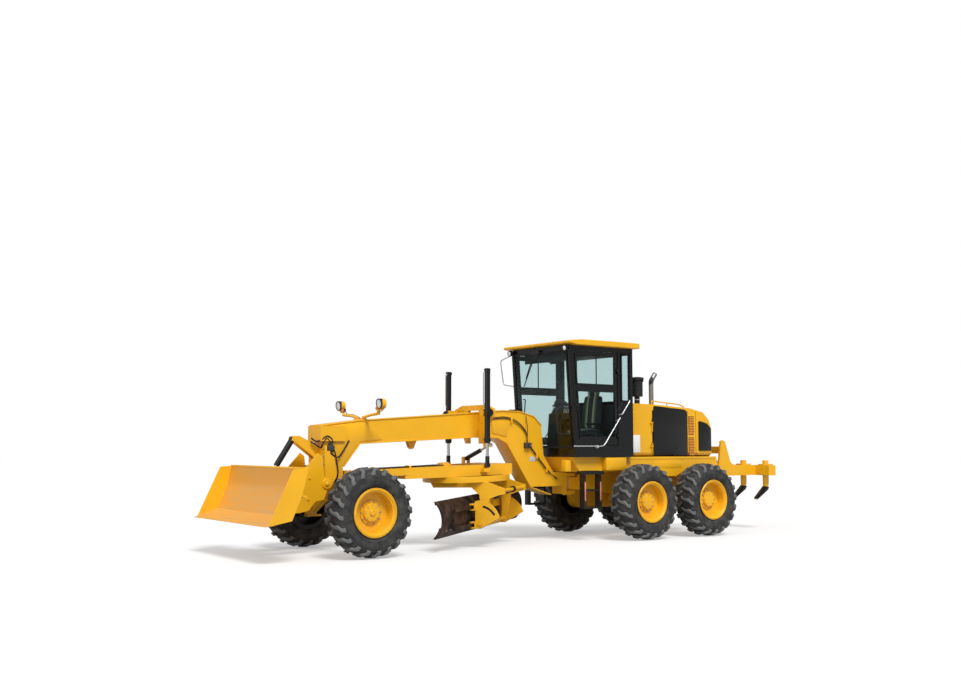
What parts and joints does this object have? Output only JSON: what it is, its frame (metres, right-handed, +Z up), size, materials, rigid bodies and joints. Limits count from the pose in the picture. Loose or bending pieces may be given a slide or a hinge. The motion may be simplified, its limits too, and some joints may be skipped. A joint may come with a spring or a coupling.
{
  "type": "motor grader with front bucket and rear ripper",
  "caption": "Articulated road grader with a turning blade under its frame, leaning front wheels, tandem rear axle, cab with doors, front bucket and rear ripper.",
  "frame": {"origin": "on the floor, midway along the machine, on its centre plane", "axes": "+X forward, +Y to the machine's left, +Z up"},
  "size_m": [11.4, 2.6, 3.49],
  "materials": {
    "yellow_paint": "gloss",
    "cab_black": "satin",
    "panel_black": "satin",
    "worn_steel": "worn",
    "rod_chrome": "polished",
    "tyre_rubber": "matt",
    "window_glass": "clear",
    "seat_cloth": "woven",
    "console_plastic": "matt",
    "engine_iron": "rough",
    "stack_steel": "heat stained"
  },
  "bodies": {
    "chassis": {"rear_frame": "yellow_paint", "cab_shell": "cab_black", "cab_roof": "yellow_paint", "cab_glass": "window_glass", "seat_cushions": "seat_cloth", "cab_controls": "console_plastic", "hood": "yellow_paint", "engine_block": "engine_iron", "radiator_guard": "yellow_paint", "hood_stacks": "stack_steel", "access_steps": "panel_black"},
    "front_half": {"front_frame": "yellow_paint", "lift_yoke": "yellow_paint", "bucket_bracket": "yellow_paint", "front_lamps": "yellow_paint"},
    "front_axle": {"front_axle_beam": "yellow_paint"},
    "lean_bar": {"lean_bar": "rod_chrome"},
    "drawbar": {"drawbar": "yellow_paint"},
    "circle": {"circle": "yellow_paint"},
    "carrier": {"blade_carrier": "yellow_paint"},
    "moldboard": {"moldboard": "worn_steel"},
    "tip_barrel": {"tip_barrel": "yellow_paint"},
    "tip_rod": {"tip_rod": "rod_chrome"},
    "shift_barrel": {"shift_barrel": "yellow_paint"},
    "shift_rod": {"shift_rod": "rod_chrome"},
    "bucket": {"front_bucket": "yellow_paint"},
    "bucket_barrel": {"bucket_barrel": "yellow_paint"},
    "bucket_rod": {"bucket_rod": "rod_chrome"},
    "ripper": {"ripper_frame": "yellow_paint"},
    "ripper_barrel": {"ripper_barrel": "yellow_paint"},
    "ripper_rod": {"ripper_rod": "rod_chrome"},
    "lean_left": {"lean_bracket_left": "yellow_paint"},
    "knuckle_left": {"steering_knuckle_left": "yellow_paint"},
    "tandem_left": {"tandem_case_left": "yellow_paint"},
    "front_wheel_left": {"front_tyre_left": "tyre_rubber", "front_rim_left": "yellow_paint"},
    "middle_wheel_left": {"middle_tyre_left": "tyre_rubber", "middle_rim_left": "yellow_paint"},
    "rear_wheel_left": {"rear_tyre_left": "tyre_rubber", "rear_rim_left": "yellow_paint"},
    "lift_barrel_left": {"lift_barrel_left": "yellow_paint"},
    "lift_rod_left": {"lift_rod_left": "rod_chrome"},
    "cab_door_left": {"cab_door_left": "cab_black", "door_glass_left": "window_glass"},
    "hood_door_left": {"hood_door_left": "panel_black"},
    "lean_right": {"lean_bracket_right": "yellow_paint"},
    "knuckle_right": {"steering_knuckle_right": "yellow_paint"},
    "tandem_right": {"tandem_case_right": "yellow_paint"},
    "front_wheel_right": {"front_tyre_right": "tyre_rubber", "front_rim_right": "yellow_paint"},
    "middle_wheel_right": {"middle_tyre_right": "tyre_rubber", "middle_rim_right": "yellow_paint"},
    "rear_wheel_right": {"rear_tyre_right": "tyre_rubber", "rear_rim_right": "yellow_paint"},
    "lift_barrel_right": {"lift_barrel_right": "yellow_paint"},
    "lift_rod_right": {"lift_rod_right": "rod_chrome"},
    "cab_door_right": {"cab_door_right": "cab_black", "door_glass_right": "window_glass"},
    "hood_door_right": {"hood_door_right": "panel_black"}
  },
  "joints": [
    {"name": "articulation", "type": "hinge", "parent": "chassis", "child": "front_half", "pos_m": [-0.79, 0, 1], "axis": [0, 0, 1], "range_deg": [-25, 25]},
    {"name": "axle_oscillation", "type": "hinge", "parent": "front_half", "child": "front_axle", "pos_m": [3.95, 0, 0.96], "axis": [1, 0, 0], "range_deg": [-15, 15]},
    {"name": "lean_left", "type": "hinge", "parent": "front_axle", "child": "lean_left", "pos_m": [3.95, 0.69, 0.7], "axis": [1, 0, 0], "range_deg": [-17, 17]},
    {"name": "lean_right", "type": "hinge", "parent": "front_axle", "child": "lean_right", "pos_m": [3.95, -0.69, 0.7], "axis": [1, 0, 0], "range_deg": [-17, 17]},
    {"name": "lean_bar_slide", "type": "slide", "parent": "front_axle", "child": "lean_bar", "axis": [0, 1, 0], "range_m": [-0.06775, 0.06775]},
    {"name": "steer_left", "type": "hinge", "parent": "lean_left", "child": "knuckle_left", "pos_m": [3.95, 0.83, 0.665], "axis": [0, 0, 1], "range_deg": [-40, 40]},
    {"name": "front_wheel_left", "type": "hinge", "parent": "knuckle_left", "child": "front_wheel_left", "pos_m": [3.95, 1.07, 0.665], "axis": [0, 1, 0], "continuous": true},
    {"name": "steer_right", "type": "hinge", "parent": "lean_right", "child": "knuckle_right", "pos_m": [3.95, -0.83, 0.665], "axis": [0, 0, 1], "range_deg": [-40, 40]},
    {"name": "front_wheel_right", "type": "hinge", "parent": "knuckle_right", "child": "front_wheel_right", "pos_m": [3.95, -1.07, 0.665], "axis": [0, 1, 0], "continuous": true},
    {"name": "tandem_left", "type": "hinge", "parent": "chassis", "child": "tandem_left", "pos_m": [-2.45, 0.715, 0.665], "axis": [0, 1, 0], "range_deg": [-15, 15]},
    {"name": "middle_wheel_left", "type": "hinge", "parent": "tandem_left", "child": "middle_wheel_left", "pos_m": [-1.665, 1.07, 0.665], "axis": [0, 1, 0], "continuous": true},
    {"name": "rear_wheel_left", "type": "hinge", "parent": "tandem_left", "child": "rear_wheel_left", "pos_m": [-3.235, 1.07, 0.665], "axis": [0, 1, 0], "continuous": true},
    {"name": "tandem_right", "type": "hinge", "parent": "chassis", "child": "tandem_right", "pos_m": [-2.45, -0.715, 0.665], "axis": [0, 1, 0], "range_deg": [-15, 15]},
    {"name": "middle_wheel_right", "type": "hinge", "parent": "tandem_right", "child": "middle_wheel_right", "pos_m": [-1.665, -1.07, 0.665], "axis": [0, 1, 0], "continuous": true},
    {"name": "rear_wheel_right", "type": "hinge", "parent": "tandem_right", "child": "rear_wheel_right", "pos_m": [-3.235, -1.07, 0.665], "axis": [0, 1, 0], "continuous": true},
    {"name": "drawbar_pitch", "type": "hinge", "parent": "front_half", "child": "drawbar", "pos_m": [3.75, 0, 1.19], "axis": [0, 1, 0], "range_deg": [-4, 5]},
    {"name": "lift_swing_left", "type": "hinge", "parent": "front_half", "child": "lift_barrel_left", "pos_m": [1.42, 0.57, 2.187], "axis": [0, 1, 0], "range_deg": [-2, 2]},
    {"name": "lift_stroke_left", "type": "slide", "parent": "lift_barrel_left", "child": "lift_rod_left", "axis": [0, 0, -1], "range_m": [-0.20484, 0.16427]},
    {"name": "lift_swing_right", "type": "hinge", "parent": "front_half", "child": "lift_barrel_right", "pos_m": [1.42, -0.57, 2.187], "axis": [0, 1, 0], "range_deg": [-2, 2]},
    {"name": "lift_stroke_right", "type": "slide", "parent": "lift_barrel_right", "child": "lift_rod_right", "axis": [0, 0, -1], "range_m": [-0.20484, 0.16427]},
    {"name": "circle_turn", "type": "hinge", "parent": "drawbar", "child": "circle", "pos_m": [1.45152, 0, 1.27348], "axis": [0.0363, 0, 0.9993], "continuous": true},
    {"name": "blade_tip", "type": "hinge", "parent": "circle", "child": "carrier", "pos_m": [1.16721, 0.39639, 0.40322], "axis": [0.8428, 0.5373, -0.0306], "range_deg": [-4, 25]},
    {"name": "tip_swing", "type": "hinge", "parent": "circle", "child": "tip_barrel", "pos_m": [0.99278, 0.70002, 0.9299], "axis": [0.8428, 0.5373, -0.0306], "range_deg": [-30, 30]},
    {"name": "tip_stroke", "type": "slide", "parent": "tip_barrel", "child": "tip_rod", "axis": [0.4993, -0.802, -0.3279], "range_m": [-0.02867, 0.16871]},
    {"name": "blade_shift", "type": "slide", "parent": "carrier", "child": "moldboard", "axis": [0.8428, 0.5373, -0.0306], "range_m": [-0.25, 0.25]},
    {"name": "shift_swing", "type": "hinge", "parent": "drawbar", "child": "shift_barrel", "pos_m": [1.155, -0.42, 1.42], "axis": [1, 0, 0], "range_deg": [-25, 25]},
    {"name": "shift_stroke", "type": "slide", "parent": "shift_barrel", "child": "shift_rod", "axis": [0, 0.948, 0.3183], "range_m": [-0.06562, 0.05289]},
    {"name": "bucket_lift", "type": "hinge", "parent": "front_half", "child": "bucket", "pos_m": [4.25, 0, 1.065], "axis": [0, 1, 0], "range_deg": [-8, 22]},
    {"name": "bucket_cylinder_swing", "type": "hinge", "parent": "front_half", "child": "bucket_barrel", "pos_m": [4.68, 0, 1.74], "axis": [0, 1, 0], "range_deg": [-40, 40]},
    {"name": "bucket_stroke", "type": "slide", "parent": "bucket_barrel", "child": "bucket_rod", "axis": [0.5423, 0, -0.8402], "range_m": [-0.10029, 0.27231]},
    {"name": "ripper_lift", "type": "hinge", "parent": "chassis", "child": "ripper", "pos_m": [-4.11, 0, 1.1], "axis": [0, 1, 0], "range_deg": [-20, 8]},
    {"name": "ripper_cylinder_swing", "type": "hinge", "parent": "chassis", "child": "ripper_barrel", "pos_m": [-4.01, 0, 1.6], "axis": [0, 1, 0], "range_deg": [-40, 40]},
    {"name": "ripper_stroke", "type": "slide", "parent": "ripper_barrel", "child": "ripper_rod", "axis": [-0.9772, 0, 0.2124], "range_m": [-0.07237, 0.17794]},
    {"name": "cab_door_left", "type": "hinge", "parent": "chassis", "child": "cab_door_left", "pos_m": [-1.3, 0.826, 2.4], "axis": [0, 0, 1], "range_deg": [0, 95]},
    {"name": "cab_door_right", "type": "hinge", "parent": "chassis", "child": "cab_door_right", "pos_m": [-1.3, -0.826, 2.4], "axis": [0, 0, -1], "range_deg": [0, 95]},
    {"name": "hood_door_left", "type": "hinge", "parent": "chassis", "child": "hood_door_left", "pos_m": [-2.25, 0.716, 1.9], "axis": [0, 0, -1], "range_deg": [0, 95]},
    {"name": "hood_door_right", "type": "hinge", "parent": "chassis", "child": "hood_door_right", "pos_m": [-2.25, -0.716, 1.9], "axis": [0, 0, 1], "range_deg": [0, 95]}
  ],
  "couplings": [
    {"joint": "lean_right", "follows": "lean_left", "ratio": 1},
    {"joint": "lean_bar_slide", "follows": "lean_left", "m_per_rad": -0.22664},
    {"joint": "steer_right", "follows": "steer_left", "ratio": 1},
    {"joint": "lift_swing_left", "follows": "drawbar_pitch", "ratio": -0.22236},
    {"joint": "lift_stroke_left", "follows": "drawbar_pitch", "m_per_rad": -2.3243},
    {"joint": "lift_swing_right", "follows": "drawbar_pitch", "ratio": -0.22236},
    {"joint": "lift_stroke_right", "follows": "drawbar_pitch", "m_per_rad": -2.3243},
    {"joint": "tip_swing", "follows": "blade_tip", "ratio": 0.052934},
    {"joint": "tip_stroke", "follows": "blade_tip", "m_per_rad": 0.38207},
    {"joint": "shift_swing", "follows": "drawbar_pitch", "ratio": -3.3292},
    {"joint": "shift_stroke", "follows": "drawbar_pitch", "m_per_rad": -0.729},
    {"joint": "bucket_cylinder_swing", "follows": "bucket_lift", "ratio": 0.49155},
    {"joint": "bucket_stroke", "follows": "bucket_lift", "m_per_rad": 0.70398},
    {"joint": "ripper_cylinder_swing", "follows": "ripper_lift", "ratio": 0.94326},
    {"joint": "ripper_stroke", "follows": "ripper_lift", "m_per_rad": -0.50402}
  ]
}
